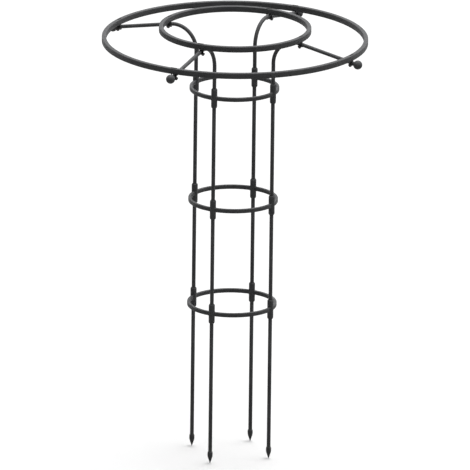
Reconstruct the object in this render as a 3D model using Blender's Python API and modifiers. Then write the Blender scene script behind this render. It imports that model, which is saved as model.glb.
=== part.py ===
# Metal trellis: a four-post column on ground spikes, under a canopy of two rings on bent arms.
# Lengths are in metres, +Z is up, and the origin is on the ground under the column's axis.

import math

import bmesh
import bpy
from mathutils import Matrix, Vector

# Fits
GAP = 0.0003                   # clear space between two pieces that touch
SLIP = 0.0004                  # radial clearance of a tube in its sleeve, and of a stub in its tube

# The four stations around the column, in degrees from +X
STATIONS = {"right": 0.0, "back": 90.0, "left": 180.0, "front": 270.0}

# Column
POST_CIRCLE_R = 0.178
TUBE_R = 0.008
TUBE_WALL = 0.0012
FRAME_HEIGHTS = {"lower": 0.641, "middle": 1.0856, "upper": 1.560}

# Column frames: a hoop with four push-fit sleeves
HOOP_WIDTH = 0.012
HOOP_HEIGHT = 0.0175
HOOP_CHAMFER = 0.003
SLEEVE_R = 0.0127
SLEEVE_LENGTH = 0.081
SLEEVE_NECK_R = 0.0105
SLEEVE_NECK_LENGTH = 0.004
STOP_R = 0.0058                # bore of the stop that the tubes meet inside the sleeve
STOP_THICKNESS = 0.004
BAR_END_CLEAR = 0.0005         # wall left between the end of a hoop's bar and the sleeve's bore

# Canopy rings
INNER_RING_R = 0.303
INNER_RING_Z = 1.810
OUTER_RING_R = 0.536
OUTER_RING_Z = 1.765
RING_WIDTH = 0.018
RING_HEIGHT = 0.024
RING_CHAMFER = 0.003
RING_WALL = 0.0015
SEAM_GAP = 0.0006              # between the ends of two half rings

# Each seam's angle in degrees, and the half ring after it and before it, going round
SEAMS = {"back": (135.0, "left", "right"), "front": (315.0, "right", "left")}

# Each half ring's first seam, and the stations that it passes over
HALVES = {"left": ("back", ("left", "front")), "right": ("front", ("right", "back"))}

# Arms and balls
BEND_TO_CLAMP = 0.006          # straight run between the bend's end and the inner ring's centreline
BALL_R = 0.01875
BALL_REACH = 0.030             # from the outer ring's centreline to the ball's centre, along the arm
BALL_FLAT = 0.0018             # how deep the ball is cut flat where the tube meets it
STUB_LENGTH = 0.022

# Ground spikes
SPIKE_LENGTH = 0.051
SPIKE_R = 0.0108
SPIKE_SHOULDER = 0.005         # how far below its top the spike reaches its full width
SPIKE_BELLY = 0.015            # length of the widest stretch
SPIKE_POINT_R = 0.0012

# Seam spigots and screws
SPIGOT_HALF_LENGTH = 0.026
SCREW_OFFSET = 0.016           # from the seam to the screw, along the ring
SCREW_SHANK_R = 0.0025
SCREW_HEAD_R = 0.0046
SCREW_HEAD_HEIGHT = 0.0026
SCREW_LENGTH = 0.012

# Clamps
BOLT_R = 0.0025
STRAP_HEIGHT = 0.0016          # the flat top of a clamp's bolt, over the ring
STRAP_WIDTH = 0.007
STRAP_END = 0.003              # from a leg's axis to the strap's end
STRAP_CORNER = 0.0026
SADDLE_WIDTH = 0.014           # along the arm
SADDLE_WEB = 0.002             # metal under the arm
SADDLE_CHEEK = 0.004           # how far the saddle rises beside the arm
SADDLE_END = 0.0035            # metal outside each leg's hole
NUT_FLATS = 0.010
NUT_HEIGHT = 0.004
LEG_TAIL = 0.001               # thread below the nut
LEG_HOLE_CLEAR = 0.0008        # radial clearance of a leg's hole in the ring

# Facets
TUBE_RESOLUTION = 4
BEND_STEPS = 8
SLEEVE_SIDES = 12
HOOP_BAR_STEPS = 7
HALF_RING_STEPS = {"outer": 24, "inner": 16}     # a multiple of 4 puts a corner at each station
BALL_STEPS = 7
BALL_SIDES = 12
SPIKE_SIDES = 12
BOLT_SIDES = 12
STRAP_STEPS = 2
HOLE_SIDES = 10
MERGE = 0.00001
OVERCUT = 0.002                # how far a cutter stands out of what it cuts

# Finishes: colour, roughness and metallic value
COAT = ((0.034, 0.035, 0.037, 1.0), 0.42, 0.0)
BLACK_ZINC = ((0.018, 0.018, 0.019, 1.0), 0.38, 0.9)

# Sizes that follow from those above
RINGS = {
    "inner": (INNER_RING_R, INNER_RING_Z),
    "outer": (OUTER_RING_R, OUTER_RING_Z),
}
SLOPE = math.atan2(INNER_RING_Z - OUTER_RING_Z, OUTER_RING_R - INNER_RING_R)
BEND_R = (INNER_RING_R - BEND_TO_CLAMP - POST_CIRCLE_R) / (1.0 + math.sin(SLOPE))
LEG_SPREAD = TUBE_R + BOLT_R + GAP       # from the arm's axis to a bolt leg's axis
NUT_R = NUT_FLATS / math.sqrt(3.0)


def clear_scene():
    for obj in list(bpy.data.objects):
        bpy.data.objects.remove(obj, do_unlink=True)


def new_collection(name):
    collection = bpy.data.collections.new(name)
    bpy.context.scene.collection.children.link(collection)
    return collection


def add_object(name, data, collection, station=None):
    obj = bpy.data.objects.new(name, data)
    collection.objects.link(obj)
    obj.parent = station
    return obj


def finish(obj, coat):
    """Gives a part its own material, and smooth shading between its sharp edges."""
    colour, roughness, metallic = coat
    material = bpy.data.materials.new(obj.name)
    material.use_nodes = True
    shader = material.node_tree.nodes["Principled BSDF"]
    shader.inputs["Base Color"].default_value = colour
    shader.inputs["Roughness"].default_value = roughness
    shader.inputs["Metallic"].default_value = metallic
    material.diffuse_color = colour
    obj.data.materials.clear()
    obj.data.materials.append(material)
    if obj.type == "MESH":
        obj.data.shade_smooth()
        obj.data.set_sharp_from_angle(angle=math.radians(40.0))
    return obj


def hide(cutter):
    cutter.hide_render = True
    cutter.display_type = "WIRE"
    return cutter


def chamfered_outline(width, height, chamfer):
    """The corners of a rectangle with cut corners, centred on (0, 0), in order round it."""
    x, z = width / 2.0, height / 2.0
    c = chamfer
    return [
        (x, z - c), (x, c - z), (x - c, -z), (c - x, -z),
        (-x, c - z), (-x, z - c), (c - x, z), (x - c, z),
    ]


def turned(name, outline, sides, collection, station=None, closed=False):
    """A solid of revolution about Z: the outline is (radius, height), down its outer side."""
    mesh = bpy.data.meshes.new(name)
    points = [(radius, 0.0, height) for radius, height in outline]
    edges = [(i, i + 1) for i in range(len(points) - 1)]
    if closed:
        edges.append((len(points) - 1, 0))
    mesh.from_pydata(points, edges, [])
    obj = add_object(name, mesh, collection, station)
    screw = obj.modifiers.new("Turn", "SCREW")
    screw.steps = sides
    screw.render_steps = sides
    screw.use_merge_vertices = True
    screw.merge_threshold = MERGE
    return obj


def sweep(bm, outline, radius, steps, first, span, capped):
    """Adds the surface that an outline (across, up) leaves when it goes round the Z axis."""
    verts = [bm.verts.new((radius + across, 0.0, up)) for across, up in outline]
    edges = [bm.edges.new((verts[i - 1], verts[i])) for i in range(len(verts))]
    bmesh.ops.rotate(bm, verts=verts, cent=(0, 0, 0), matrix=Matrix.Rotation(first, 3, "Z"))
    swept = bmesh.ops.spin(
        bm, geom=verts + edges, cent=(0, 0, 0), axis=(0, 0, 1), angle=span, steps=steps,
        use_duplicate=False,
    )
    if capped:
        last = [item for item in swept["geom_last"] if isinstance(item, bmesh.types.BMEdge)]
        bmesh.ops.contextual_create(bm, geom=edges)
        bmesh.ops.contextual_create(bm, geom=last)


def swept_object(name, bm, collection):
    bmesh.ops.recalc_face_normals(bm, faces=bm.faces)
    mesh = bpy.data.meshes.new(name)
    bm.to_mesh(mesh)
    bm.free()
    return add_object(name, mesh, collection)


def bar_curve(name, points, radius, resolution, collection, station=None, capped=True):
    """A round bar along straight stretches between points."""
    curve = bpy.data.curves.new(name, "CURVE")
    curve.dimensions = "3D"
    curve.bevel_depth = radius
    curve.bevel_resolution = resolution
    curve.use_fill_caps = capped
    spline = curve.splines.new("POLY")
    spline.points.add(len(points) - 1)
    for spline_point, place in zip(spline.points, points):
        spline_point.co = (*place, 1.0)
    return add_object(name, curve, collection, station)


def tube(name, points, collection, station):
    """A hollow tube with open ends along a path."""
    curve = bar_curve(name, points, TUBE_R, TUBE_RESOLUTION, collection, station, capped=False)
    graph = bpy.context.evaluated_depsgraph_get()
    mesh = bpy.data.meshes.new_from_object(curve.evaluated_get(graph))
    bpy.data.curves.remove(curve.data)
    obj = add_object(name, mesh, collection, station)
    wall = obj.modifiers.new("Wall", "SOLIDIFY")
    wall.thickness = TUBE_WALL
    wall.offset = -1.0
    wall.use_even_offset = True
    return obj


def cylinder(name, radius, length, sides, collection, station=None):
    """A closed cylinder about Z, centred on its own origin."""
    bm = bmesh.new()
    bmesh.ops.create_cone(
        bm, cap_ends=True, segments=sides, radius1=radius, radius2=radius, depth=length
    )
    mesh = bpy.data.meshes.new(name)
    bm.to_mesh(mesh)
    bm.free()
    return add_object(name, mesh, collection, station)


def boolean(obj, operation, other):
    cut = obj.modifiers.new(other.name, "BOOLEAN")
    cut.operation = operation
    cut.object = other
    return cut


def arm_offset():
    """From a ring's centre to the axis of the arm that lies under its inner edge, square to the arm."""
    half_width = RING_WIDTH / 2.0
    half_height = RING_HEIGHT / 2.0
    corners = [
        (half_width - RING_CHAMFER, half_height),
        (half_width, half_height - RING_CHAMFER),
    ]
    reach = max(x * math.sin(SLOPE) + z * math.cos(SLOPE) for x, z in corners)
    return reach + GAP + TUBE_R


def arm_height(radius):
    """The height of the arm's axis at a distance from the column's axis, on its straight run."""
    drop = arm_offset() / math.cos(SLOPE)
    return INNER_RING_Z - drop - math.tan(SLOPE) * (radius - INNER_RING_R)


def along_arm(radius, distance):
    """The point on the arm's straight run that lies a distance past a radius."""
    run = Vector((math.cos(SLOPE), 0.0, -math.sin(SLOPE)))
    return Vector((radius, 0.0, arm_height(radius))) + run * distance


def arm_path():
    """The arm's axis: up out of the upper sleeve, round the bend, and down to the ball."""
    centre_x = POST_CIRCLE_R + BEND_R
    end_x = centre_x + BEND_R * math.sin(SLOPE)
    centre_z = arm_height(end_x) - BEND_R * math.cos(SLOPE)
    turn = math.pi / 2.0 + SLOPE
    points = [Vector((POST_CIRCLE_R, 0.0, post_seat("upper", 1.0)))]
    for step in range(BEND_STEPS + 1):
        angle = math.pi - turn * step / BEND_STEPS
        across = math.cos(angle) * BEND_R
        points.append(Vector((centre_x + across, 0.0, centre_z + math.sin(angle) * BEND_R)))
    points.append(along_arm(OUTER_RING_R, BALL_REACH - BALL_R + BALL_FLAT - GAP))
    return points


def post_seat(level, side):
    """Where a tube ends against the stop in a sleeve: side is 1 above the stop and -1 below it."""
    return FRAME_HEIGHTS[level] + side * (STOP_THICKNESS / 2.0 + GAP)


def stub_radius():
    return TUBE_R - TUBE_WALL - SLIP


def make_posts(side_name, parts, station):
    """The three straight tubes of one post, stacked through the sleeves."""
    runs = {
        "leg": (SPIKE_LENGTH + GAP, post_seat("lower", -1.0)),
        "lower_post": (post_seat("lower", 1.0), post_seat("middle", -1.0)),
        "upper_post": (post_seat("middle", 1.0), post_seat("upper", -1.0)),
    }
    for run_name, (bottom, top) in runs.items():
        ends = [(POST_CIRCLE_R, 0.0, bottom), (POST_CIRCLE_R, 0.0, top)]
        finish(tube(f"{run_name}_{side_name}", ends, parts, station), COAT)


def make_spike(side_name, parts, station):
    """A turned point under the leg, with a stub that is pressed into the tube."""
    shoulder = TUBE_R - GAP
    belly_top = SPIKE_LENGTH - SPIKE_SHOULDER
    outline = [
        (0.0, SPIKE_LENGTH + STUB_LENGTH),
        (stub_radius(), SPIKE_LENGTH + STUB_LENGTH),
        (stub_radius(), SPIKE_LENGTH),
        (shoulder, SPIKE_LENGTH),
        (SPIKE_R, belly_top),
        (SPIKE_R, belly_top - SPIKE_BELLY),
        (SPIKE_POINT_R, 0.0),
        (0.0, 0.0),
    ]
    spike = turned(f"spike_{side_name}", outline, SPIKE_SIDES, parts, station)
    spike.location = (POST_CIRCLE_R, 0.0, 0.0)
    finish(spike, COAT)


def make_arm(side_name, parts, station):
    finish(tube(f"arm_{side_name}", arm_path(), parts, station), COAT)


def make_ball(side_name, parts, station):
    """A ball on the arm's end, turned in one piece with its stub."""
    seat = BALL_R - BALL_FLAT
    first = math.acos(seat / BALL_R)
    outline = [(0.0, seat + STUB_LENGTH), (stub_radius(), seat + STUB_LENGTH), (stub_radius(), seat)]
    for step in range(BALL_STEPS + 1):
        angle = first + (math.pi - first) * step / BALL_STEPS
        outline.append((BALL_R * math.sin(angle), BALL_R * math.cos(angle)))
    outline[-1] = (0.0, -BALL_R)
    ball = turned(f"ball_{side_name}", outline, BALL_SIDES, parts, station)
    ball.location = along_arm(OUTER_RING_R, BALL_REACH)
    ball.rotation_euler = (0.0, -math.pi / 2.0 + SLOPE, 0.0)
    finish(ball, COAT)


def clamp_heights(ring_name):
    """The heights of the parts of one clamp, from the strap's underside down to the leg's end."""
    radius, height = RINGS[ring_name]
    arm_bottom = arm_height(radius) - TUBE_R / math.cos(SLOPE)
    saddle_bottom = arm_bottom - GAP - SADDLE_WEB
    return {
        "strap_bottom": height + RING_HEIGHT / 2.0 + GAP,
        "saddle_top": arm_bottom + SADDLE_CHEEK,
        "saddle_bottom": saddle_bottom,
        "nut_bottom": saddle_bottom - NUT_HEIGHT,
        "leg_end": saddle_bottom - NUT_HEIGHT - LEG_TAIL,
    }


def block(name, size, collection, station, corner=0.0):
    """A box centred on its own origin, whose upright edges may be rounded."""
    bm = bmesh.new()
    bmesh.ops.create_cube(bm, size=1.0)
    bmesh.ops.scale(bm, vec=size, verts=bm.verts)
    if corner:
        upright = [e for e in bm.edges if abs(e.verts[0].co.z - e.verts[1].co.z) > MERGE]
        bmesh.ops.bevel(
            bm, geom=upright, offset=corner, segments=STRAP_STEPS, profile=0.5, affect="EDGES"
        )
    mesh = bpy.data.meshes.new(name)
    bm.to_mesh(mesh)
    bm.free()
    return add_object(name, mesh, collection, station)


def make_ubolt(ring_name, side_name, parts, cutters, station):
    """A flat strap over the ring, whose two round legs go down through it beside the arm."""
    radius, _ = RINGS[ring_name]
    heights = clamp_heights(ring_name)
    name = f"{ring_name}_ubolt_{side_name}"
    size = (STRAP_WIDTH, 2.0 * (LEG_SPREAD + STRAP_END), STRAP_HEIGHT)
    bolt = block(name, size, parts, station, STRAP_CORNER)
    strap_middle = heights["strap_bottom"] + STRAP_HEIGHT / 2.0
    bolt.location = (radius, 0.0, strap_middle)
    length = strap_middle - heights["leg_end"]
    for sign in (-1.0, 1.0):
        leg = cylinder(f"{name}_leg", BOLT_R, length, BOLT_SIDES, cutters, station)
        leg.location = (radius, sign * LEG_SPREAD, strap_middle - length / 2.0)
        boolean(bolt, "UNION", hide(leg))
    finish(bolt, BLACK_ZINC)


def make_saddle(ring_name, side_name, parts, cutters, station):
    """The block under the arm, grooved for the tube, with its two captive nuts."""
    radius, _ = RINGS[ring_name]
    heights = clamp_heights(ring_name)
    name = f"{ring_name}_saddle_{side_name}"
    length = 2.0 * (LEG_SPREAD + BOLT_R + GAP + SADDLE_END)
    thickness = heights["saddle_top"] - heights["saddle_bottom"]
    saddle = block(name, (SADDLE_WIDTH, length, thickness), parts, station)
    saddle.location = (radius, 0.0, (heights["saddle_top"] + heights["saddle_bottom"]) / 2.0)

    groove_length = 3.0 * SADDLE_WIDTH
    groove = cylinder(f"{name}_groove", TUBE_R + GAP, groove_length, SLEEVE_SIDES, cutters, station)
    groove.location = (radius, 0.0, arm_height(radius))
    groove.rotation_euler = (0.0, math.pi / 2.0 + SLOPE, 0.0)
    boolean(saddle, "DIFFERENCE", hide(groove))

    for sign in (-1.0, 1.0):
        overlap = NUT_HEIGHT / 4.0
        nut = cylinder(f"{name}_nut", NUT_R, NUT_HEIGHT + overlap, 6, cutters, station)
        nut_z = heights["nut_bottom"] + (NUT_HEIGHT + overlap) / 2.0
        nut.location = (radius, sign * LEG_SPREAD, nut_z)
        boolean(saddle, "UNION", hide(nut))
    for sign in (-1.0, 1.0):
        depth = thickness + NUT_HEIGHT + 2.0 * OVERCUT
        hole = cylinder(f"{name}_hole", BOLT_R + SLIP, depth, HOLE_SIDES, cutters, station)
        hole_z = (heights["saddle_top"] + heights["nut_bottom"]) / 2.0
        hole.location = (radius, sign * LEG_SPREAD, hole_z)
        boolean(saddle, "DIFFERENCE", hide(hole))
    finish(saddle, BLACK_ZINC)


def make_station(side_name, parts, cutters):
    """One post with its arm and clamps, made along +X and turned to its place by an empty."""
    station = add_object(f"station_{side_name}", None, parts)
    station.rotation_euler = (0.0, 0.0, math.radians(STATIONS[side_name]))
    make_spike(side_name, parts, station)
    make_posts(side_name, parts, station)
    make_arm(side_name, parts, station)
    make_ball(side_name, parts, station)
    for ring_name in RINGS:
        make_ubolt(ring_name, side_name, parts, cutters, station)
        make_saddle(ring_name, side_name, parts, cutters, station)
    return station


def sleeve_outline():
    """Half of the section of a push-fit sleeve, whose bore is stepped down to a stop at mid-length."""
    end = SLEEVE_LENGTH / 2.0
    bore = TUBE_R + SLIP
    stop = STOP_THICKNESS / 2.0
    return [
        (SLEEVE_NECK_R, end), (SLEEVE_R, end - SLEEVE_NECK_LENGTH),
        (SLEEVE_R, SLEEVE_NECK_LENGTH - end), (SLEEVE_NECK_R, -end),
        (bore, -end), (bore, -stop), (STOP_R, -stop), (STOP_R, stop), (bore, stop), (bore, end),
    ]


def make_frame(level, parts, cutters, stations):
    """A hoop of four bars, each welded at both ends into the walls of two sleeves."""
    outline = chamfered_outline(HOOP_WIDTH, HOOP_HEIGHT, HOOP_CHAMFER)
    bar_end = math.asin((TUBE_R + SLIP + BAR_END_CLEAR) / POST_CIRCLE_R)
    bm = bmesh.new()
    for angle in STATIONS.values():
        first = math.radians(angle) + bar_end
        sweep(bm, outline, POST_CIRCLE_R, HOOP_BAR_STEPS, first, math.pi / 2.0 - 2.0 * bar_end, True)
    frame = swept_object(f"{level}_frame", bm, parts)
    frame.location = (0.0, 0.0, FRAME_HEIGHTS[level])
    for side_name, station in stations.items():
        name = f"{level}_sleeve_{side_name}"
        sleeve = turned(name, sleeve_outline(), SLEEVE_SIDES, cutters, station, closed=True)
        sleeve.location = (POST_CIRCLE_R, 0.0, FRAME_HEIGHTS[level])
        boolean(frame, "UNION", hide(sleeve))
    finish(frame, COAT)


def leg_holes(ring_name, cutters, stations):
    """Drills for the bolt legs, through both walls of a ring."""
    radius, height = RINGS[ring_name]
    drills = {}
    for side_name, station in stations.items():
        drills[side_name] = []
        for sign in (-1.0, 1.0):
            length = RING_HEIGHT + 2.0 * OVERCUT
            name = f"{ring_name}_drill_{side_name}"
            drill = cylinder(name, BOLT_R + LEG_HOLE_CLEAR, length, HOLE_SIDES, cutters, station)
            drill.location = (radius, sign * LEG_SPREAD, height)
            drills[side_name].append(hide(drill))
    return drills


def facet_point(ring_name, seam, sign, distance, outward):
    """A point beside a seam, along the flat facet there, and the facet's outward direction."""
    radius, height = RINGS[ring_name]
    step = math.pi / HALF_RING_STEPS[ring_name]
    seam_point = Vector((radius * math.cos(seam), radius * math.sin(seam), height))
    middle = seam + sign * step / 2.0
    normal = Vector((math.cos(middle), math.sin(middle), 0.0))
    run = Vector((-math.sin(middle), math.cos(middle), 0.0)) * sign
    return seam_point + run * distance + normal * outward, normal


def screw_outline():
    head = SCREW_HEAD_R
    tall = SCREW_HEAD_HEIGHT
    return [
        (0.0, tall), (head * 0.55, tall * 0.9), (head, tall * 0.35), (head, 0.0),
        (SCREW_SHANK_R, 0.0), (SCREW_SHANK_R, -SCREW_LENGTH), (0.0, -SCREW_LENGTH),
    ]


def make_seam(ring_name, seam_name, parts, cutters):
    """The spigot inside one seam and its two screws. It returns the screws' drills."""
    radius, height = RINGS[ring_name]
    angle, half_after, half_before = SEAMS[seam_name]
    seam = math.radians(angle)
    step = math.pi / HALF_RING_STEPS[ring_name]
    facet = 2.0 * radius * math.sin(step / 2.0)
    inset = 2.0 * (RING_WALL + SLIP)
    outline = chamfered_outline(RING_WIDTH - inset, RING_HEIGHT - inset, RING_CHAMFER)
    share = SPIGOT_HALF_LENGTH / facet
    at_seam = Matrix.Rotation(seam, 3, "Z")
    bm = bmesh.new()
    loops = []
    for sign in (-1.0, 0.0, 1.0):
        verts = [bm.verts.new((radius + across, 0.0, up)) for across, up in outline]
        next_corner = Matrix.Rotation(seam + sign * step, 3, "Z")
        blend = at_seam * (1.0 - share) + next_corner * share
        bmesh.ops.transform(bm, matrix=blend.to_4x4(), verts=verts)
        edges = [bm.edges.new((verts[i - 1], verts[i])) for i in range(len(verts))]
        loops.append((verts, edges))
    for (_, near), (_, far) in zip(loops, loops[1:]):
        bmesh.ops.bridge_loops(bm, edges=near + far)
    for verts, _ in (loops[0], loops[-1]):
        bm.faces.new(verts)
    bmesh.ops.recalc_face_normals(bm, faces=bm.faces)
    mesh = bpy.data.meshes.new(f"{ring_name}_spigot_{seam_name}")
    bm.to_mesh(mesh)
    bm.free()
    spigot = add_object(mesh.name, mesh, parts)
    spigot.location = (0.0, 0.0, height)

    drills = {}
    face = RING_WIDTH / 2.0 + GAP
    for sign, end_name in ((1.0, half_after), (-1.0, half_before)):
        place, normal = facet_point(ring_name, seam, sign, SCREW_OFFSET, face)
        turn = normal.to_track_quat("Z", "Y").to_euler()
        name = f"{ring_name}_screw_{seam_name}_{end_name}"
        screw = turned(name, screw_outline(), HOLE_SIDES, parts)
        screw.location = place
        screw.rotation_euler = turn
        finish(screw, BLACK_ZINC)
        depth = 2.0 * (SCREW_LENGTH + OVERCUT)
        drill = cylinder(f"{name}_drill", SCREW_SHANK_R + SLIP, depth, HOLE_SIDES, cutters)
        drill.location = place
        drill.rotation_euler = turn
        drills[end_name] = hide(drill)
        boolean(spigot, "DIFFERENCE", drill)
    finish(spigot, COAT)
    return drills


def make_ring(ring_name, parts, cutters, stations):
    """A canopy ring: two hollow half rings with a spigot in each seam, drilled for the clamps."""
    radius, height = RINGS[ring_name]
    outline = chamfered_outline(RING_WIDTH, RING_HEIGHT, RING_CHAMFER)
    leg_drills = leg_holes(ring_name, cutters, stations)
    seam_drills = [make_seam(ring_name, seam_name, parts, cutters) for seam_name in SEAMS]
    clear = SEAM_GAP / radius
    for half_name, (first_seam, sides) in HALVES.items():
        first = math.radians(SEAMS[first_seam][0]) + clear / 2.0
        bm = bmesh.new()
        sweep(bm, outline, radius, HALF_RING_STEPS[ring_name], first, math.pi - clear, False)
        half = swept_object(f"{ring_name}_ring_{half_name}", bm, parts)
        half.location = (0.0, 0.0, height)
        wall = half.modifiers.new("Wall", "SOLIDIFY")
        wall.thickness = RING_WALL
        wall.offset = -1.0
        wall.use_even_offset = True
        for side_name in sides:
            for drill in leg_drills[side_name]:
                boolean(half, "DIFFERENCE", drill)
        for drills in seam_drills:
            boolean(half, "DIFFERENCE", drills[half_name])
        finish(half, COAT)


def main():
    clear_scene()
    parts = new_collection("metal_trellis")
    cutters = new_collection("cutters")
    stations = {name: make_station(name, parts, cutters) for name in STATIONS}
    for level in FRAME_HEIGHTS:
        make_frame(level, parts, cutters, stations)
    for ring_name in RINGS:
        make_ring(ring_name, parts, cutters, stations)


main()
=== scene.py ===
# Metal trellis: a four-post column on ground spikes, under a canopy of two rings.
import math

import bmesh
import bpy
from mathutils import Matrix, Quaternion, Vector


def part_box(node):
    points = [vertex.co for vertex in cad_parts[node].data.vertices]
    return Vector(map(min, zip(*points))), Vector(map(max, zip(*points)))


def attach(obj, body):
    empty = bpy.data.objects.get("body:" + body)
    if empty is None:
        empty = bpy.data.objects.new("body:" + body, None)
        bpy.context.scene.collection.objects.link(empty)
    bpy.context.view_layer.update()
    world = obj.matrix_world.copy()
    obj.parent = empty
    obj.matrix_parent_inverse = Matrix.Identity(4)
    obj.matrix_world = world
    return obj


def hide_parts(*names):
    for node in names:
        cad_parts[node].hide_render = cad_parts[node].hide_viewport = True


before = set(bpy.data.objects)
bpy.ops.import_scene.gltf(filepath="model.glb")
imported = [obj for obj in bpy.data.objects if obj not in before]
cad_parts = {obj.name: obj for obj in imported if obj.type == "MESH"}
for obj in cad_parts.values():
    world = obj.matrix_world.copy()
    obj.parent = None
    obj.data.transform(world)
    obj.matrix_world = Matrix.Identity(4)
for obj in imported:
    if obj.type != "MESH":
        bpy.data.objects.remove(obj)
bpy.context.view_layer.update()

print("frame loaded with", len(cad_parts), "nodes")

# Places and sizes that several pieces share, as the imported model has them, in metres
stations = {"right": 0, "back": 90, "left": 180, "front": 270}      # degrees round from +X
levels = {"lower": 0.641, "middle": 1.0856, "upper": 1.56}          # heights of the hoops
rings = {"inner": (0.303, 1.810), "outer": (0.536, 1.765)}          # radius and height
gap = 0.0003                                                        # between pieces that touch
slip = 0.0004                                                       # round a tube in its sleeve
merged = 0.000002                                                   # doubles this near are one
(innerRadius, innerHeight), (outerRadius, outerHeight) = rings["inner"], rings["outer"]
downhill = math.atan2(innerHeight - outerHeight, outerRadius - innerRadius)     # the arms' fall


# Shader help
class Wire:
    # one socket of a material, so that shader maths reads as maths
    def __init__(self, tree, socket=None):
        self.tree = tree
        self.socket = socket

    def make(self, kind, settings=None, feeds=None, out=0):
        # any node: its settings go first, then the values or links of its sockets
        made = self.tree.nodes.new(kind)
        for name, value in (settings or {}).items():
            if name == "stops":
                for stop, (place, shade) in zip(made.color_ramp.elements, value):
                    stop.position = place
                    stop.color = (shade, shade, shade, 1.0)
            else:
                setattr(made, name, value)
        for name, value in (feeds or {}).items():
            if isinstance(value, Wire):
                self.tree.links.new(value.socket, made.inputs[name])
            else:
                made.inputs[name].default_value = value
        return Wire(self.tree, made.outputs[out])

    def maths(self, operation, first, second):
        return self.make("ShaderNodeMath", {"operation": operation}, {0: first, 1: second})

    def __add__(self, other):
        return self.maths("ADD", self, other)

    def __radd__(self, other):
        return self.maths("ADD", other, self)

    def __mul__(self, other):
        return self.maths("MULTIPLY", self, other)

    def __rmul__(self, other):
        return self.maths("MULTIPLY", other, self)

    def noise(self, scale, detail=2.0, rough=0.5, stretch=(1.0, 1.0, 1.0)):
        # a cloud pattern fixed to the piece, its scale in waves a metre
        place = self.make("ShaderNodeTexCoord", out="Object")
        place = self.make("ShaderNodeMapping", feeds={"Vector": place, "Scale": stretch})
        feeds = {"Vector": place, "Scale": scale, "Detail": detail, "Roughness": rough}
        return self.make("ShaderNodeTexNoise", feeds=feeds, out="Fac")

    def ramp(self, value, low, high):
        # 0 up to the low value, 1 from the high one on
        return self.make("ShaderNodeValToRGB", {"stops": [(low, 0.0), (high, 1.0)]}, {"Fac": value})

    def mixed(self, amount, first, second):
        # from the first colour to the second
        colours = {0: amount, 6: (*first, 1.0) if isinstance(first, tuple) else first}
        colours[7] = (*second, 1.0) if isinstance(second, tuple) else second
        return self.make("ShaderNodeMix", {"data_type": "RGBA"}, colours, out=2)

    def bump(self, height):
        # heights in metres
        feeds = {"Height": height, "Strength": 1.0, "Distance": 1.0}
        return self.make("ShaderNodeBump", feeds=feeds)


def plug(wires, shader, feeds):
    # links finished values to the shader's sockets
    for name, value in feeds.items():
        wires.tree.links.new(value.socket, shader.inputs[name])


def newMaterial(name, shine):
    # a material with its principled shader's plain values set
    material = bpy.data.materials.new(name)
    material.use_nodes = True
    shader = material.node_tree.nodes["Principled BSDF"]
    for socket, value in shine.items():
        shader.inputs[socket].default_value = value
    return material, shader, Wire(material.node_tree)


# Finishes
coat = {
    "colour": (0.0980, 0.0990, 0.1020),     # satin graphite powder coat
    "thin": (0.1190, 0.1205, 0.1240),       # where the coat lies thinner
    "rubbed": (0.1780, 0.1790, 0.1810),     # where an edge has been rubbed
    "rubbedAmount": 0.6,
    "dust": (0.2150, 0.2080, 0.1935),
    "dustAmount": 0.035,
    "roughness": (0.54, 0.66),
    "dustRoughness": 1.5,                   # added to the roughness where each of these shows
    "handledRoughness": -0.05,
    "rubbedRoughness": -0.10,
    "cloudScale": 22.0,                     # scales are in waves a metre
    "mottleScale": 140.0,
    "patchScale": 60.0,
    "patchStretch": (1.0, 1.0, 0.25),
    "gritScale": 2600.0,
    "peelScale": 620.0,                     # orange peel
    "peelDepth": 0.000150,
    "grainScale": 2300.0,                   # the powder's own fine grain
    "grainDepth": 0.000028,
    "rippleScale": 150.0,
    "rippleDepth": 0.000090,
    "ior": 1.28,
}


def powderCoat():
    shine = {"Metallic": 0.0, "IOR": coat["ior"]}
    material, shader, wires = newMaterial("satinPowderCoat", shine)
    cloud = wires.noise(coat["cloudScale"], 3.0)
    mottle = wires.noise(coat["mottleScale"], 2.0, 0.6)
    peel = wires.noise(coat["peelScale"], 1.0)
    grain = wires.noise(coat["grainScale"], 1.0)
    ripple = wires.noise(coat["rippleScale"], 1.0)
    grit = wires.ramp(wires.noise(coat["gritScale"], 0.0), 0.68, 0.76)
    patches = wires.noise(coat["patchScale"], 4.0, 0.7, coat["patchStretch"])
    handled = wires.ramp(patches, 0.62, 0.72)
    edge = wires.make("ShaderNodeNewGeometry", out="Pointiness")
    rubbed = wires.ramp(edge, 0.515, 0.56) * wires.ramp(patches, 0.46, 0.62)

    facing = wires.make("ShaderNodeNewGeometry", out="Normal")
    upward = wires.make("ShaderNodeSeparateXYZ", feeds={"Vector": facing}, out="Z")
    lying = wires.ramp(upward, 0.35, 0.95) * cloud * 2.0 * coat["dustAmount"]
    tone = wires.mixed(wires.ramp(cloud, 0.35, 0.68), coat["colour"], coat["thin"])
    tone = wires.mixed(rubbed * coat["rubbedAmount"], tone, coat["rubbed"])
    tone = wires.mixed(lying + grit * lying * 3.0, tone, coat["dust"])

    low, high = coat["roughness"]
    rough = low + (high - low) * wires.ramp(mottle, 0.3, 0.7) + lying * coat["dustRoughness"]
    rough = rough + handled * coat["handledRoughness"] + rubbed * coat["rubbedRoughness"]
    height = peel * coat["peelDepth"] + ripple * coat["rippleDepth"] + grain * coat["grainDepth"]
    plug(wires, shader, {"Base Color": tone, "Roughness": rough, "Normal": wires.bump(height)})
    return material


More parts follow.
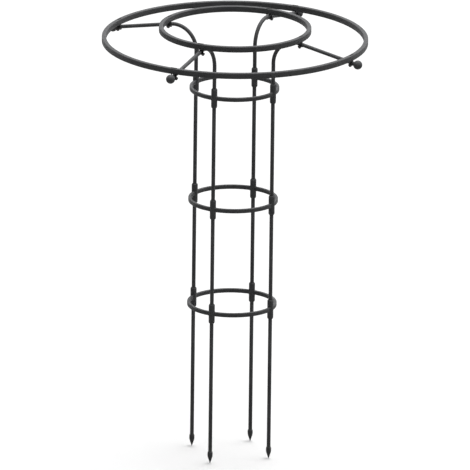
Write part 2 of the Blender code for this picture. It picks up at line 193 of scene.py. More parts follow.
zinc = {
    "colour": (0.020, 0.020, 0.022),
    "bloom": (0.034, 0.031, 0.030),         # the brownish bloom of black passivated zinc
    "rubbed": (0.230, 0.225, 0.215),        # bare metal that shows on rubbed corners
    "rubbedAmount": 0.22,
    "rubbedMetal": 0.8,                     # added to the metallic value there
    "metallic": 0.78,
    "roughness": (0.34, 0.50),
    "cloudScale": 260.0,
    "grainScale": 3200.0,
    "grainDepth": 0.000008,
    "ior": 1.5,
}


def blackZinc():
    material, shader, wires = newMaterial("blackPassivatedZinc", {"IOR": zinc["ior"]})
    cloud = wires.noise(zinc["cloudScale"], 3.0, 0.6)
    grain = wires.noise(zinc["grainScale"], 2.0)
    edge = wires.make("ShaderNodeNewGeometry", out="Pointiness")
    worn = wires.ramp(edge, 0.53, 0.60) * wires.ramp(cloud, 0.35, 0.65) * zinc["rubbedAmount"]
    tone = wires.mixed(wires.ramp(cloud, 0.35, 0.7), zinc["colour"], zinc["bloom"])
    tone = wires.mixed(worn, tone, zinc["rubbed"])
    low, high = zinc["roughness"]
    rough = low + (high - low) * cloud
    metal = zinc["metallic"] + worn * zinc["rubbedMetal"]
    feeds = {"Base Color": tone, "Roughness": rough, "Metallic": metal}
    feeds["Normal"] = wires.bump(grain * zinc["grainDepth"])
    plug(wires, shader, feeds)
    return material


finishes = {"powder_coat": powderCoat(), "black_zinc": blackZinc()}
print("finishes made")


# Shaping help
def keep(bm, name, slotName, nodes, turn=0, crease=38):
    # makes a finished piece that stands for CAD nodes, turned to its station
    spin = Matrix.Rotation(math.radians(turn), 3, "Z")
    bmesh.ops.rotate(bm, verts=bm.verts, cent=(0, 0, 0), matrix=spin)
    bmesh.ops.remove_doubles(bm, verts=bm.verts, dist=merged)
    bmesh.ops.recalc_face_normals(bm, faces=bm.faces)
    mesh = bpy.data.meshes.new(name)
    bm.to_mesh(mesh)
    bm.free()
    mesh.materials.append(finishes[slotName])
    mesh.shade_smooth()
    mesh.set_sharp_from_angle(angle=math.radians(crease))
    piece = bpy.data.objects.new(name, mesh)
    bpy.context.scene.collection.objects.link(piece)
    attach(piece, "root")
    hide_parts(*nodes)


def include(bm, other, place=None):
    # adds a copy of another shape, moved to its place
    data = bpy.data.meshes.new("copied")
    other.to_mesh(data)
    if place is not None:
        data.transform(place)
    bm.from_mesh(data)
    bpy.data.meshes.remove(data)


def carve(bm, other, operation="DIFFERENCE"):
    # an exact cut or join of two closed shapes
    pair = []
    for shape in (bm, other):
        bmesh.ops.recalc_face_normals(shape, faces=shape.faces)
        data = bpy.data.meshes.new("carved")
        shape.to_mesh(data)
        shape.free()
        pair.append(bpy.data.objects.new("carved", data))
        bpy.context.scene.collection.objects.link(pair[-1])
    change = pair[0].modifiers.new("carve", "BOOLEAN")
    change.operation = operation
    change.solver = "EXACT"
    change.object = pair[1]
    result = bmesh.new()
    result.from_object(pair[0], bpy.context.evaluated_depsgraph_get())
    for item in pair:
        data = item.data
        bpy.data.objects.remove(item)
        bpy.data.meshes.remove(data)
    return result


def lathe(outline, sides, rounding=None, closed=False):
    # turns an outline of (radius, height) about Z, after rounding its listed corners
    bm = bmesh.new()
    points = [bm.verts.new((radius, 0.0, height)) for radius, height in outline]
    for first, second in zip(points, points[1:]):
        bm.edges.new((first, second))
    if closed:
        bm.edges.new((points[-1], points[0]))
    for index, size in (rounding or {}).items():
        bmesh.ops.bevel(
            bm, geom=[points[index]], offset=size, offset_type="OFFSET", segments=5,
            profile=0.5, affect="VERTICES", clamp_overlap=True, material=-1,
        )
    bmesh.ops.spin(
        bm, geom=bm.verts[:] + bm.edges[:], cent=(0, 0, 0), axis=(0, 0, 1),
        angle=2.0 * math.pi, steps=sides, use_merge=True,
    )
    bmesh.ops.remove_doubles(bm, verts=bm.verts, dist=merged)
    bmesh.ops.recalc_face_normals(bm, faces=bm.faces)
    return bm


def hollow(bm, wall):
    # leaves only the rim of a flat section, as wide as the wall
    middle = bm.faces[:]
    bmesh.ops.inset_region(
        bm, faces=middle, thickness=wall, use_boundary=True, use_even_offset=True
    )
    bmesh.ops.delete(bm, geom=middle, context="FACES")


def roundSection(radius, sides, wall=0.0):
    # a round section, flat on the ground
    bm = bmesh.new()
    bmesh.ops.create_circle(bm, cap_ends=True, segments=sides, radius=radius)
    if wall:
        hollow(bm, wall)
    return bm


def barSection(width, height, corner, wall=0.0, segments=5):
    # a rounded rectangle that stands across X and up Z
    bm = bmesh.new()
    bmesh.ops.create_grid(bm, x_segments=1, y_segments=1, size=0.5)
    bmesh.ops.scale(bm, vec=(width, height, 1.0), verts=bm.verts)
    upright = Matrix.Rotation(math.pi / 2.0, 3, "X")
    bmesh.ops.rotate(bm, verts=bm.verts, cent=(0, 0, 0), matrix=upright)
    bmesh.ops.bevel(
        bm, geom=bm.verts[:], offset=corner, offset_type="OFFSET", segments=segments,
        profile=0.5, affect="VERTICES", material=-1,
    )
    if wall:
        hollow(bm, wall)
    return bm


def wholeSection(section):
    # a section's faces with their edges and points, so that none stays behind inside
    whole = dict.fromkeys(section)
    for face in section:
        whole.update(dict.fromkeys([*face.verts, *face.edges]))
    return list(whole)


def pull(bm, section, shift, grow=1.0):
    # draws a section straight on and gives back its far end
    drawn = bmesh.ops.extrude_face_region(bm, geom=wholeSection(section))["geom"]
    points = [item for item in drawn if isinstance(item, bmesh.types.BMVert)]
    bmesh.ops.translate(bm, vec=shift, verts=points)
    if grow != 1.0:
        middle = sum((point.co for point in points), Vector()) / len(points)
        bmesh.ops.scale(
            bm, vec=(grow, grow, grow), space=Matrix.Translation(-middle), verts=points
        )
    return [item for item in drawn if isinstance(item, bmesh.types.BMFace)]


def swing(bm, section, centre, axis, angle, steps):
    # draws a section round an axis and gives back its far end
    drawn = bmesh.ops.spin(
        bm, geom=wholeSection(section), cent=centre, axis=axis, angle=angle, steps=steps,
        use_duplicate=False,
    )["geom_last"]
    return [item for item in drawn if isinstance(item, bmesh.types.BMFace)]


def ease(bm, size, steepest=60, segments=2):
    # rounds every edge that turns more than a limit
    sharp = [edge for edge in bm.edges if edge.calc_face_angle(0.0) > math.radians(steepest)]
    bmesh.ops.bevel(
        bm, geom=sharp, offset=size, offset_type="OFFSET", segments=segments, profile=0.5,
        affect="EDGES", clamp_overlap=True, material=-1,
    )


def roundUprights(bm, size, segments):
    # rounds a block's upright edges
    level = 0.001
    upright = [edge for edge in bm.edges if abs(edge.verts[0].co.z - edge.verts[1].co.z) > level]
    bmesh.ops.bevel(
        bm, geom=upright, offset=size, offset_type="OFFSET", segments=segments, profile=0.5,
        affect="EDGES", clamp_overlap=True, material=-1,
    )


def rod(radius, length, sides=32):
    # a closed cylinder about Z, centred on the origin
    bm = bmesh.new()
    bmesh.ops.create_cone(
        bm, cap_ends=True, segments=sides, radius1=radius, radius2=radius, depth=length
    )
    return bm


# Posts, sleeves and hoops
post = {
    "circle": 0.178,            # from the column's axis to a tube's axis
    "radius": 0.008,
    "wall": 0.0012,
    "sides": 48,
    "lip": 0.00025,             # rounding of a sawn end
    "spikeTop": 0.051,
    "stop": 0.004,              # thickness of the stop in each sleeve
}


def seat(level, side):
    # where a tube ends against the stop in a sleeve
    return levels[level] + side * (post["stop"] / 2.0 + gap)


def makePosts(name, turn):
    runs = {
        "leg": (post["spikeTop"] + gap, seat("lower", -1)),
        "lower_post": (seat("lower", 1), seat("middle", -1)),
        "upper_post": (seat("middle", 1), seat("upper", -1)),
    }
    labels = {"leg": "legTube", "lower_post": "lowerPostTube", "upper_post": "upperPostTube"}
    for run, (bottom, top) in runs.items():
        bm = roundSection(post["radius"], post["sides"], post["wall"])
        bmesh.ops.translate(bm, vec=(post["circle"], 0, bottom), verts=bm.verts)
        pull(bm, bm.faces[:], (0, 0, top - bottom))
        ease(bm, post["lip"])
        keep(bm, f"{labels[run]}_{name}", "powder_coat", [f"{run}_{name}"], turn)


spike = {
    "stub": (0.0064, 0.022),            # radius and length of the part inside the leg
    "outline": [(0.0077, 0.0510), (0.0101, 0.0480), (0.0108, 0.0440), (0.0108, 0.0335),
                (0.0098, 0.0270), (0.0012, 0.0010)],    # from the shoulder down to the point
    "rounding": {1: 0.0006, 3: 0.0003, 4: 0.0018, 5: 0.0020, 6: 0.0032, 7: 0.0032, 8: 0.0006},
    "sides": 48,
}


def makeSpike(name, turn):
    stubRadius, stubLength = spike["stub"]
    top = post["spikeTop"]
    outline = [(0.0, top + stubLength), (stubRadius, top + stubLength), (stubRadius, top)]
    outline += spike["outline"] + [(0.0, 0.0)]
    bm = lathe(outline, spike["sides"], spike["rounding"])
    bmesh.ops.translate(bm, vec=(post["circle"], 0, 0), verts=bm.verts)
    keep(bm, f"groundSpike_{name}", "powder_coat", [f"spike_{name}"], turn, crease=50)


hoop = {
    "width": 0.012,
    "height": 0.0175,
    "corner": 0.003,
    "steps": 28,                # along each quarter
    "barStart": 0.0005,         # from the sleeve's bore to the bar's end, inside the sleeve
    "sleeveRadius": 0.0127,
    "sleeveLength": 0.081,
    "sleeveRounding": {0: 0.0004, 1: 0.0020, 2: 0.0020, 3: 0.0004, 4: 0.0003, 9: 0.0003},
    "neckRadius": 0.0105,
    "neckLength": 0.004,
    "stopRadius": 0.0058,
    "sides": 48,
    "bead": 0.0014,             # radius of a weld bead
    "beadRipples": 30,
    "rippleSteps": 5,           # along each ripple
    "rippleSwell": (0.10, 0.05),        # of the even and the uneven ripples
    "cornerSteps": 8,           # of the bead, round each of the bar's corners
}


def sleeveShape():
    # a push-fit sleeve about Z, with a stop halfway down its bore
    end = hoop["sleeveLength"] / 2.0
    bore = post["radius"] + slip
    stop = post["stop"] / 2.0
    outline = [
        (hoop["neckRadius"], end), (hoop["sleeveRadius"], end - hoop["neckLength"]),
        (hoop["sleeveRadius"], hoop["neckLength"] - end), (hoop["neckRadius"], -end),
        (bore, -end), (bore, -stop), (hoop["stopRadius"], -stop),
        (hoop["stopRadius"], stop), (bore, stop), (bore, end),
    ]
    return lathe(outline, hoop["sides"], hoop["sleeveRounding"], closed=True)


def beadPath(side):
    # where a bar's sides meet the sleeve, as a loop round the bar
    across, up, corner = hoop["width"] / 2.0, hoop["height"] / 2.0, hoop["corner"]
    steps = hoop["cornerSteps"]
    points = []
    for quarter, (signX, signZ) in enumerate(((1, 1), (-1, 1), (-1, -1), (1, -1))):
        for step in range(steps + 1):
            angle = math.pi / 2.0 * (quarter + step / steps)
            x = signX * (across - corner) + corner * math.cos(angle)
            z = signZ * (up - corner) + corner * math.sin(angle)
            y = math.sqrt(hoop["sleeveRadius"] ** 2 - x * x)
            bend = y * y / (2.0 * post["circle"])
            points.append(Vector((post["circle"] + x - bend, side * y, z)))
    return points


def beadShape(side):
    # a rippled weld bead, even steps along its path
    path = beadPath(side)
    lengths = [(second - first).length for first, second in zip(path, path[1:] + path[:1])]
    count = hoop["beadRipples"] * hoop["rippleSteps"]
    even, uneven = hoop["rippleSwell"]
    curve = bpy.data.curves.new("bead", "CURVE")
    curve.dimensions = "3D"
    curve.bevel_depth = hoop["bead"]
    curve.bevel_resolution = 3
    spline = curve.splines.new("POLY")
    spline.points.add(count - 1)
    spline.use_cyclic_u = True
    for index, point in enumerate(spline.points):
        left = sum(lengths) * index / count
        leg = 0
        while left > lengths[leg]:
            left -= lengths[leg]
            leg += 1
        nextPoint = path[(leg + 1) % len(path)]
        point.co = (*path[leg].lerp(nextPoint, left / lengths[leg]), 1.0)
        wave = math.sin(2.0 * math.pi * hoop["beadRipples"] * index / count)
        point.radius = 1.0 + even * wave + uneven * math.sin(0.9 * index)
    item = bpy.data.objects.new("bead", curve)
    bpy.context.scene.collection.objects.link(item)
    graph = bpy.context.evaluated_depsgraph_get()
    data = bpy.data.meshes.new_from_object(item.evaluated_get(graph))
    bm = bmesh.new()
    bm.from_mesh(data)
    bpy.data.objects.remove(item)
    bpy.data.curves.remove(curve)
    bpy.data.meshes.remove(data)
    return bm


def makeHoop(level):
    bars = bmesh.new()
    start = math.asin((post["radius"] + slip + hoop["barStart"]) / post["circle"])
    for turn in stations.values():
        bar = barSection(hoop["width"], hoop["height"], hoop["corner"])
        bmesh.ops.translate(bar, vec=(post["circle"], 0, 0), verts=bar.verts)
        quarter = math.pi / 2.0 - 2.0 * start
        swing(bar, bar.faces[:], (0, 0, 0), (0, 0, 1), quarter, hoop["steps"])
        include(bars, bar, Matrix.Rotation(start + math.radians(turn), 4, "Z"))
        bar.free()
    sleeves = bmesh.new()
    one = sleeveShape()
    for turn in stations.values():
        out = Matrix.Rotation(math.radians(turn), 4, "Z")
        include(sleeves, one, out @ Matrix.Translation((post["circle"], 0, 0)))
    one.free()
    body = carve(bars, sleeves, "UNION")
    bmesh.ops.translate(body, vec=(0, 0, levels[level]), verts=body.verts)
    keep(body, f"{level}Hoop", "powder_coat", [f"{level}_frame"], crease=30)

    welds = bmesh.new()
    for turn in stations.values():
        for side in (-1, 1):
            bead = beadShape(side)
            include(welds, bead, Matrix.Rotation(math.radians(turn), 4, "Z"))
            bead.free()
    bmesh.ops.translate(welds, vec=(0, 0, levels[level]), verts=welds.verts)
    keep(welds, f"{level}HoopWelds", "powder_coat", [f"{level}_frame"], crease=80)


for name, turn in stations.items():
    makePosts(name, turn)
    makeSpike(name, turn)
for level in levels:
    makeHoop(level)
print("column made")


# Canopy rings
ring = {
    "width": 0.018,
    "height": 0.024,
    "corner": 0.003,
    "wall": 0.0015,
    "steps": 96,                # along each half
    "seamGap": 0.0006,
    "lip": 0.00025,
    "legHole": 0.0033,          # radius of the holes for the clamp bolts
}
drillSpare = 0.001              # how far a drill passes what it drills
# each seam's place in degrees, with the half ring after it and the one before it
seams = {"back": (135, "left", "right"), "front": (315, "right", "left")}
# the seam at which each half ring starts, and the stations of its clamps
halves = {"left": ("back", ("left", "front")), "right": ("front", ("right", "back"))}
seam = {
    "spigot": 0.026,            # half its length, along the ring
    "spigotCorner": 0.002,
    "spigotLip": 0.0006,
    "spigotSteps": 12,
    "offset": 0.016,            # from the seam to a screw
    "shank": 0.0025,
    "head": (0.0046, 0.0026),   # radius and height
    "length": 0.012,
    "rounding": {1: 0.0019, 2: 0.0002, 4: 0.0005},
    "sides": 32,
    "socket": (0.0015, 0.0014), # half its width across flats, and its depth
}


def screwPlace(ringName, angle, side):
    # the face under a screw's head: Z points out of the ring there
    radius, height = rings[ringName]
    out = Matrix.Rotation(math.radians(angle) + side * seam["offset"] / radius, 4, "Z")
    face = radius + ring["width"] / 2.0 + gap
    lift = Matrix.Translation((0, 0, height))
    return lift @ out @ Matrix.Translation((face, 0, 0)) @ Matrix.Rotation(math.pi / 2.0, 4, "Y")


def makeHalfRing(ringName, halfName):
    radius, height = rings[ringName]
    firstSeam, sides = halves[halfName]
    clear = ring["seamGap"] / radius
    bm = barSection(ring["width"], ring["height"], ring["corner"], ring["wall"])
    bmesh.ops.translate(bm, vec=(radius, 0, height), verts=bm.verts)
    swing(bm, bm.faces[:], (0, 0, 0), (0, 0, 1), math.pi - clear, ring["steps"])
    bmesh.ops.recalc_face_normals(bm, faces=bm.faces)
    ease(bm, ring["lip"])
    start = math.radians(seams[firstSeam][0]) + clear / 2.0
    spin = Matrix.Rotation(start, 3, "Z")
    bmesh.ops.rotate(bm, verts=bm.verts, cent=(0, 0, 0), matrix=spin)

    drills = bmesh.new()
    drill = rod(ring["legHole"], ring["height"] + 4.0 * drillSpare)
    for side in sides:
        out = Matrix.Rotation(math.radians(stations[side]), 4, "Z")
        for across in (-clamp["spread"], clamp["spread"]):
            include(drills, drill, out @ Matrix.Translation((radius, across, height)))
    drill.free()
    drill = rod(seam["shank"] + slip, 2.0 * seam["length"])
    for angle, after, _ in seams.values():
        side = 1 if after == halfName else -1
        include(drills, drill, screwPlace(ringName, angle, side))
    drill.free()
    bm = carve(bm, drills)
    node = f"{ringName}_ring_{halfName}"
    keep(bm, f"{ringName}HalfRing_{halfName}", "powder_coat", [node], crease=30)


def makeSeam(ringName, seamName, screwShape):
    radius, height = rings[ringName]
    angle, after, before = seams[seamName]
    inset = 2.0 * (ring["wall"] + slip)
    corner = seam["spigotCorner"]
    bm = barSection(ring["width"] - inset, ring["height"] - inset, corner)
    bmesh.ops.translate(bm, vec=(radius, 0, height), verts=bm.verts)
    half = seam["spigot"] / radius
    swing(bm, bm.faces[:], (0, 0, 0), (0, 0, 1), 2.0 * half, seam["spigotSteps"])
    bmesh.ops.recalc_face_normals(bm, faces=bm.faces)
    ease(bm, seam["spigotLip"])
    spin = Matrix.Rotation(math.radians(angle) - half, 3, "Z")
    bmesh.ops.rotate(bm, verts=bm.verts, cent=(0, 0, 0), matrix=spin)
    drills = bmesh.new()
    drill = rod(seam["shank"] + slip, 2.0 * (seam["length"] + drillSpare))
    for side, halfName in ((1, after), (-1, before)):
        place = screwPlace(ringName, angle, side)
        include(drills, drill, place)
        screw = bmesh.new()
        include(screw, screwShape, place)
        node = f"{ringName}_screw_{seamName}_{halfName}"
        label = f"{ringName}SeamScrew_{seamName}_{halfName}"
        keep(screw, label, "black_zinc", [node], crease=35)
    drill.free()
    bm = carve(bm, drills)
    node = f"{ringName}_spigot_{seamName}"
    keep(bm, f"{ringName}Spigot_{seamName}", "powder_coat", [node])


def screwMaster():
    # a button-head screw about Z, its seat at the origin
    head, tall = seam["head"]
    outline = [
        (0.0, tall), (head, tall), (head, 0.0), (seam["shank"], 0.0),
        (seam["shank"], -seam["length"]), (0.0, -seam["length"]),
    ]
    bm = lathe(outline, seam["sides"], seam["rounding"])
    flats, deep = seam["socket"]
    key = rod(flats / math.cos(math.pi / 6.0), 2.0 * deep, 6)
    bmesh.ops.translate(key, vec=(0, 0, tall), verts=key.verts)
    return carve(bm, key)


# Arms, balls and clamps
arm = {
    "straight": 0.006,          # from the end of the bend to the inner clamp
    "bendSteps": 40,
}
ball = {
    "radius": 0.01875,
    "flat": 0.0018,             # how deep the flat is where the arm ends
    "stub": (0.0064, 0.022),    # radius and length of the part inside the arm
    "rounding": {1: 0.0006, 3: 0.0003},
    "steps": 32,
    "sides": 64,
}
clamp = {
    "bar": 0.0025,              # radius of the bolt's legs
    "spread": 0.0108,           # from the arm's axis to a leg's axis
    "strap": (0.007, 0.00158),  # width and thickness of the bolt's flat top
    "strapEnd": 0.003,          # from a leg's axis to the strap's end
    "strapCorner": 0.0033,
    "strapCornerSteps": 8,
    "strapLip": 0.00045,
    "point": 0.0005,            # chamfer at a leg's foot
    "sides": 24,
    "root": 0.84,               # a thread's root, as a share of the bar's radius
    "pitch": 0.0008,
    "threads": 30,
    "saddleWidth": 0.014,       # along the arm
    "saddleWeb": 0.002,
    "saddleCheek": 0.004,
    "saddleEnd": 0.0035,
    "saddleCorner": 0.0032,
    "saddleCornerSteps": 6,
    "saddleLip": 0.0006,
    "drill": 0.04,              # length of the drills for the saddle's groove and holes
    "tail": 0.001,              # thread below the nut
}
nut = {
    "flats": 0.010,
    "height": 0.0031,
    "bore": 0.00255,
    "sink": 0.0004,             # countersink of the bore
    "crown": 0.97,              # of the flat's width, where the corners' chamfer starts
    "chamfer": 30,              # degrees
    "washerRadius": 0.0061,
    "washerHeight": 0.0009,
    "washerSlip": 0.00015,
    "washerLip": 0.0002,
    "clear": 0.00002,           # between the washer and what it touches
    "twists": (0.35, 0.9),      # how each nut is turned, in radians
}


def armDrop():
    # how far the arm's axis lies below a ring's centre, so that they just touch
    x, z = ring["width"] / 2.0 - ring["corner"], ring["height"] / 2.0
    reach = x * math.sin(downhill) + z * math.cos(downhill)
    return (reach + gap + post["radius"]) / math.cos(downhill)


def armHeight(radius):
    # the height of the arm's axis on its straight run
    return innerHeight - armDrop() - math.tan(downhill) * (radius - innerRadius)


def ballCentre():
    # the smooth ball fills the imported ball's box outwards
    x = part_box("ball_right")[1].x - ball["radius"]
    return Vector((x, 0.0, armHeight(x)))


def makeArm(name, turn):
    bend = (innerRadius - arm["straight"] - post["circle"]) / (1.0 + math.sin(downhill))
    centreX = post["circle"] + bend
    endX = centreX + bend * math.sin(downhill)
    centreZ = armHeight(endX) - bend * math.cos(downhill)
    bottom = seat("upper", 1)
    bm = roundSection(post["radius"], post["sides"], post["wall"])
    bmesh.ops.translate(bm, vec=(post["circle"], 0, bottom), verts=bm.verts)
    end = pull(bm, bm.faces[:], (0, 0, centreZ - bottom))
    turned = math.pi / 2.0 + downhill
    end = swing(bm, end, (centreX, 0, centreZ), (0, 1, 0), turned, arm["bendSteps"])
    run = Vector((math.cos(downhill), 0, -math.sin(downhill)))
    bendEnd = Vector((endX, 0, armHeight(endX)))
    length = (ballCentre() - bendEnd).length - (ball["radius"] - ball["flat"]) - gap
    pull(bm, end, run * length)
    bmesh.ops.recalc_face_normals(bm, faces=bm.faces)
    ease(bm, post["lip"])
    keep(bm, f"bentArm_{name}", "powder_coat", [f"arm_{name}"], turn)


def makeBall(name, turn):
    face = ball["radius"] - ball["flat"]
    stubRadius, stubLength = ball["stub"]
    outline = [(0.0, face + stubLength), (stubRadius, face + stubLength), (stubRadius, face)]
    first = math.acos(face / ball["radius"])
    for step in range(ball["steps"]):
        angle = first + (math.pi - first) * step / ball["steps"]
        outline.append((ball["radius"] * math.sin(angle), ball["radius"] * math.cos(angle)))
    outline.append((0.0, -ball["radius"]))
    bm = lathe(outline, ball["sides"], ball["rounding"])
    aim = Matrix.Rotation(downhill - math.pi / 2.0, 4, "Y")
    bmesh.ops.transform(bm, matrix=Matrix.Translation(ballCentre()) @ aim, verts=bm.verts)
    keep(bm, f"ballFinial_{name}", "powder_coat", [f"ball_{name}"], turn, crease=45)


def clampHeights(ringName):
    # the saddle's top and bottom, and the nuts' bottom
    radius, height = rings[ringName]
    under = armHeight(radius) - post["radius"] / math.cos(downhill)
    saddleBottom = under - gap - clamp["saddleWeb"]
    nutBottom = saddleBottom - nut["washerHeight"] - nut["height"]
    return under + clamp["saddleCheek"], saddleBottom, nutBottom


def boltMaster():
    # a flat strap with a threaded leg at each end, the ring's top at the origin
    width, thick = clamp["strap"]
    spread, root, half = clamp["spread"], clamp["root"], clamp["pitch"] / 2.0
    strap = bmesh.new()
    bmesh.ops.create_cube(strap, size=1.0)
    size = (width, 2.0 * (spread + clamp["strapEnd"]), thick)
    bmesh.ops.scale(strap, vec=size, verts=strap.verts)
    roundUprights(strap, clamp["strapCorner"], clamp["strapCornerSteps"])
    ease(strap, clamp["strapLip"], segments=4)
    bmesh.ops.translate(strap, vec=(0, 0, gap + thick / 2.0), verts=strap.verts)
    legs = bmesh.new()
    foot = clampHeights("inner")[2] - clamp["tail"] - innerHeight - ring["height"] / 2.0
    point = clamp["point"]
    plain = gap + thick / 2.0 - foot - point - clamp["threads"] * clamp["pitch"]
    for side in (-1, 1):
        bm = roundSection(clamp["bar"] * root, clamp["sides"])
        bmesh.ops.translate(bm, vec=(0, side * spread, foot), verts=bm.verts)
        end = pull(bm, bm.faces[:], (0, 0, point), 1.0 / root)
        for _ in range(clamp["threads"]):
            end = pull(bm, end, (0, 0, half), root)
            end = pull(bm, end, (0, 0, half), 1.0 / root)
        pull(bm, end, (0, 0, plain))
        include(legs, bm)
        bm.free()
    return carve(strap, legs, "UNION")


def makeBolt(ringName, name, turn, boltShape):
    radius, height = rings[ringName]
    bm = bmesh.new()
    include(bm, boltShape, Matrix.Translation((radius, 0, height + ring["height"] / 2.0)))
    node = f"{ringName}_ubolt_{name}"
    keep(bm, f"{ringName}ClampBolt_{name}", "black_zinc", [node], turn, crease=50)


def nutMaster():
    # a chamfered hexagon nut under its washer, their top at the origin
    tall, flats, bore = nut["height"], nut["flats"] / 2.0, nut["bore"]
    bm = rod(flats / math.cos(math.pi / 6.0), tall, 6)
    rim = flats * nut["crown"]
    outer = flats * 1.4                                 # clear of the corners
    end = tall / 2.0 + nut["clear"] / 2.0
    drop = (outer - rim) * math.tan(math.radians(nut["chamfer"]))
    barrel = [(0.0, end), (rim, end), (outer, end - drop), (outer, drop - end), (rim, -end)]
    bm = carve(bm, lathe(barrel + [(0.0, -end)], 48), "INTERSECT")
    sink = nut["sink"]
    over, wide = end + drillSpare, bore + sink + drillSpare
    drill = [
        (0.0, over), (wide, over), (bore, end - sink), (bore, sink - end), (wide, -over),
        (0.0, -over),
    ]
    bm = carve(bm, lathe(drill, 32))
    bmesh.ops.translate(bm, vec=(0, 0, -nut["washerHeight"] - tall / 2.0), verts=bm.verts)
    top, bottom = -nut["clear"], nut["clear"] - nut["washerHeight"]
    inner, outer = clamp["bar"] + nut["washerSlip"], nut["washerRadius"]
    outline = [(inner, top), (outer, top), (outer, bottom), (inner, bottom)]
    washer = lathe(outline, 40, {1: nut["washerLip"], 2: nut["washerLip"]}, closed=True)
    include(bm, washer)
    washer.free()
    return bm


def makeNuts(ringName, name, turn, nutShape):
    bm = bmesh.new()
    saddleBottom = clampHeights(ringName)[1]
    for side, twist in zip((-1, 1), nut["twists"]):
        place = Matrix.Translation((rings[ringName][0], side * clamp["spread"], saddleBottom))
        include(bm, nutShape, place @ Matrix.Rotation(twist, 4, "Z"))
    node = f"{ringName}_saddle_{name}"
    keep(bm, f"{ringName}ClampNuts_{name}", "black_zinc", [node], turn, crease=25)


def makeSaddle(ringName, name, turn):
    # a rounded block, grooved for the arm and drilled for the bolt's legs
    radius = rings[ringName][0]
    top, bottom, _ = clampHeights(ringName)
    half = clamp["spread"] + clamp["bar"] + gap + clamp["saddleEnd"]
    bm = bmesh.new()
    bmesh.ops.create_cube(bm, size=1.0)
    size = (clamp["saddleWidth"], 2.0 * half, top - bottom)
    bmesh.ops.scale(bm, vec=size, verts=bm.verts)
    roundUprights(bm, clamp["saddleCorner"], clamp["saddleCornerSteps"])
    ease(bm, clamp["saddleLip"], segments=3)
    bmesh.ops.translate(bm, vec=(radius, 0, (top + bottom) / 2.0), verts=bm.verts)
    cuts = rod(post["radius"] + gap, clamp["drill"], 64)
    tilt = Matrix.Rotation(math.pi / 2.0 + downhill, 4, "Y")
    groove = Matrix.Translation((radius, 0, armHeight(radius))) @ tilt
    bmesh.ops.transform(cuts, matrix=groove, verts=cuts.verts)
    bm = carve(bm, cuts)
    drills = bmesh.new()
    drill = rod(clamp["bar"] + slip, clamp["drill"])
    for side in (-1, 1):
        include(drills, drill, Matrix.Translation((radius, side * clamp["spread"], bottom)))
    drill.free()
    bm = carve(bm, drills)
    node = f"{ringName}_saddle_{name}"
    keep(bm, f"{ringName}Saddle_{name}", "black_zinc", [node], turn, crease=30)


screwShape = screwMaster()
nutShape = nutMaster()
boltShape = boltMaster()
for ringName in rings:
    for halfName in halves:
        makeHalfRing(ringName, halfName)
    for seamName in seams:
        makeSeam(ringName, seamName, screwShape)
    for name, turn in stations.items():
        makeBolt(ringName, name, turn, boltShape)
        makeSaddle(ringName, name, turn)
        makeNuts(ringName, name, turn, nutShape)
print("canopy rings and clamps made")
for name, turn in stations.items():
    makeArm(name, turn)
    makeBall(name, turn)
screwShape.free()
nutShape.free()
boltShape.free()
print("arms and balls made")


# Studio
studio = {
    "floorSide": 60.0,
    "floorColour": (0.18, 0.18, 0.18),
    "floorSeen": (0.80, 0.80, 0.80),
    "floorLift": 0.12,          # lifts the lit floor to white, where it is seen
    "skyStrength": 0.03,        # on matt surfaces
    "sunStrength": 3.9,
    "sunSpread": 60.0,          # degrees: a wide, soft lamp
    "sunTilt": (-15.0, 4.0),    # degrees about X and Y
}
lens = {
    "azimuth": 27.4,            # degrees round from -Y
    "elevation": 16.55,
    "roll": 0.69,
    "sensor": 36.0,             # millimetres, as the focal length
    "focal": 1495.0,
    "distance": 80.05,
    "farClip": 200.0,
    "aside": 0.0096,            # of the aim, to the picture's right of the column's axis
    "aimHeight": 0.9313,
}


def seenDirectly(wires):
    # 1 on rays that show the background itself
    path = "ShaderNodeLightPath"
    total = wires.make(path, out="Is Camera Ray") + wires.make(path, out="Is Glossy Ray")
    return wires.maths("MINIMUM", total + wires.make(path, out="Is Transmission Ray"), 1.0)


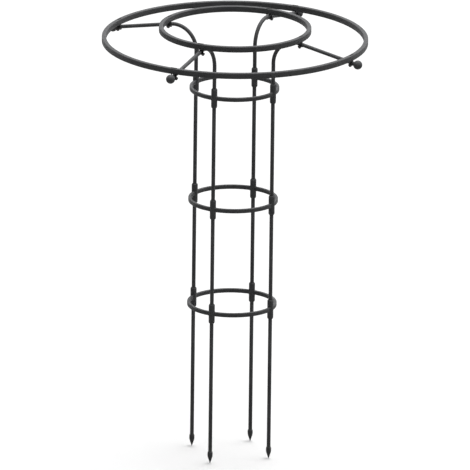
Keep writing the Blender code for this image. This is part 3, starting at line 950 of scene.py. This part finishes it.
def makeFloor():
    bm = bmesh.new()
    bmesh.ops.create_grid(bm, x_segments=1, y_segments=1, size=studio["floorSide"] / 2.0)
    mesh = bpy.data.meshes.new("studioFloor")
    bm.to_mesh(mesh)
    bm.free()
    floor = bpy.data.objects.new("studioFloor", mesh)
    bpy.context.scene.collection.objects.link(floor)
    material = bpy.data.materials.new("paleFloor")
    material.use_nodes = True
    tree = material.node_tree
    tree.nodes.clear()
    wires = Wire(tree)
    seen = seenDirectly(wires)
    colour = wires.mixed(seen, studio["floorColour"], studio["floorSeen"])
    matt = wires.make("ShaderNodeBsdfDiffuse", feeds={"Color": colour})
    strength = seen * studio["floorLift"]
    glow = wires.make("ShaderNodeEmission", feeds={"Strength": strength})
    both = wires.make("ShaderNodeAddShader", feeds={0: matt, 1: glow})
    output = tree.nodes.new("ShaderNodeOutputMaterial")
    tree.links.new(both.socket, output.inputs["Surface"])
    mesh.materials.append(material)


def makeLight():
    world = bpy.data.worlds.new("studio")
    bpy.context.scene.world = world
    world.use_nodes = True
    tree = world.node_tree
    tree.nodes.clear()
    wires = Wire(tree)
    dim = studio["skyStrength"]
    strength = dim + (1.0 - dim) * seenDirectly(wires)
    white = {"Color": (1.0, 1.0, 1.0, 1.0), "Strength": strength}
    sky = wires.make("ShaderNodeBackground", feeds=white)
    output = tree.nodes.new("ShaderNodeOutputWorld")
    tree.links.new(sky.socket, output.inputs["Surface"])
    lamp = bpy.data.lights.new("softSun", "SUN")
    lamp.energy = studio["sunStrength"]
    lamp.angle = math.radians(studio["sunSpread"])
    item = bpy.data.objects.new("softSun", lamp)
    tiltX, tiltY = studio["sunTilt"]
    item.rotation_euler = (math.radians(tiltX), math.radians(tiltY), 0.0)
    bpy.context.scene.collection.objects.link(item)


def makeCamera():
    around, above = math.radians(lens["azimuth"]), math.radians(lens["elevation"])
    back = Vector((
        math.sin(around) * math.cos(above), -math.cos(around) * math.cos(above), math.sin(above)
    ))
    rightwards = Vector((math.cos(around), math.sin(around), 0.0))
    aim = Vector((0, 0, lens["aimHeight"])) + rightwards * lens["aside"]
    data = bpy.data.cameras.new("camera")
    data.sensor_width = lens["sensor"]
    data.lens = lens["focal"]
    data.clip_end = lens["farClip"]
    item = bpy.data.objects.new("camera", data)
    item.location = aim + back * lens["distance"]
    item.rotation_mode = "QUATERNION"
    lean = Quaternion((0, 0, 1), math.radians(lens["roll"]))
    item.rotation_quaternion = (-back).to_track_quat("-Z", "Y") @ lean
    bpy.context.scene.collection.objects.link(item)
    bpy.context.scene.camera = item


makeFloor()
makeLight()
makeCamera()
bpy.context.scene.view_settings.view_transform = "Standard"
print("studio made")
